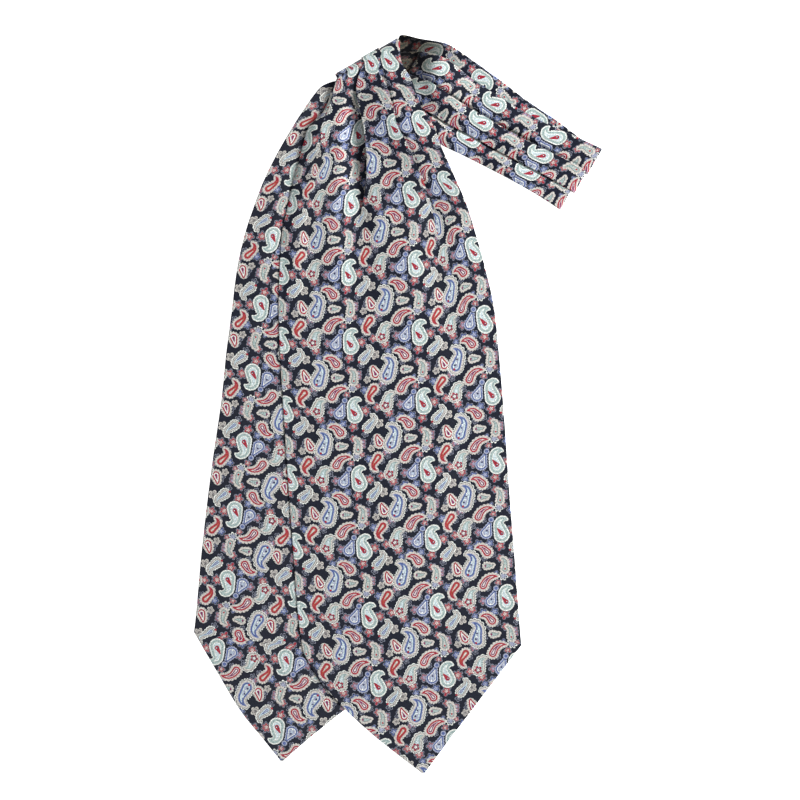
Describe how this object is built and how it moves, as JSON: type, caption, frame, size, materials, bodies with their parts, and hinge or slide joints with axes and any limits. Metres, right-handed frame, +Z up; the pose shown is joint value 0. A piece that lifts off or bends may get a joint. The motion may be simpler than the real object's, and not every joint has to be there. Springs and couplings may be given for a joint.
{
  "type": "silk cravat",
  "caption": "Printed silk day cravat laid flat: pleated neckband folded in half, with a wide pointed blade at each end, one over the other.",
  "frame": {"origin": "under the middle of the footprint, on the surface it lies on", "axes": "+Y from the blades' points towards the neckband, +X to the side the neckband goes, +Z up from the surface"},
  "size_m": [0.2719, 0.4914, 0.0103],
  "materials": {
    "printed_silk": "navy silk twill with a small paisley print, soft sheen"
  },
  "bodies": {
    "root": {"back_blade": "printed_silk", "neckband_under": "printed_silk", "neckband_over": "printed_silk", "front_turn": "printed_silk", "front_blade": "printed_silk"}
  },
  "joints": []
}
